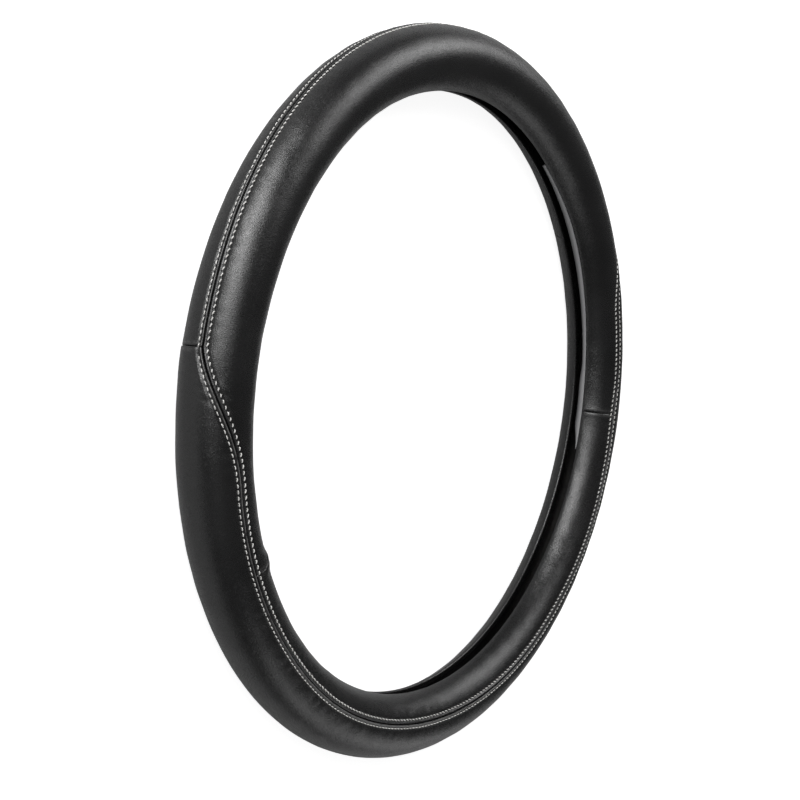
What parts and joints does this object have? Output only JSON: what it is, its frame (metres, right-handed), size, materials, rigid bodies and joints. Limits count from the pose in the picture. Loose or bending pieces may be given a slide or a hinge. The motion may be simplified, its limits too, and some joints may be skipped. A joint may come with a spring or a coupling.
{
  "type": "steering wheel cover",
  "caption": "Slip-on steering wheel cover: a sewn black leather tube on a slotted rubber ring, with white double topstitching.",
  "frame": {"origin": "centre of the ring on the surface that the cover's back lies on", "axes": "+Z out of the front face along the ring's axis, +Y towards 12 o'clock, +X towards 3 o'clock"},
  "size_m": [0.3849, 0.3853, 0.0344],
  "materials": {
    "black_leather": "satin black grained leather",
    "ring_rubber": "matt black moulded rubber",
    "white_thread": "white twisted polyester thread",
    "smooth_lining": "smooth dark grey lining with a soft gloss"
  },
  "bodies": {
    "root": {"ring_arc_1": "ring_rubber", "ring_arc_2": "ring_rubber", "ring_arc_3": "ring_rubber", "ring_arc_4": "ring_rubber", "ring_arc_5": "ring_rubber", "ring_arc_6": "ring_rubber", "ring_arc_7": "ring_rubber", "ring_arc_8": "ring_rubber", "front_panel": "black_leather", "inner_panel": "black_leather", "outer_panel": "black_leather", "back_panel": "black_leather", "outer_stitch_row": "white_thread", "inner_stitch_row": "white_thread", "lining_strip": "smooth_lining"}
  },
  "joints": []
}
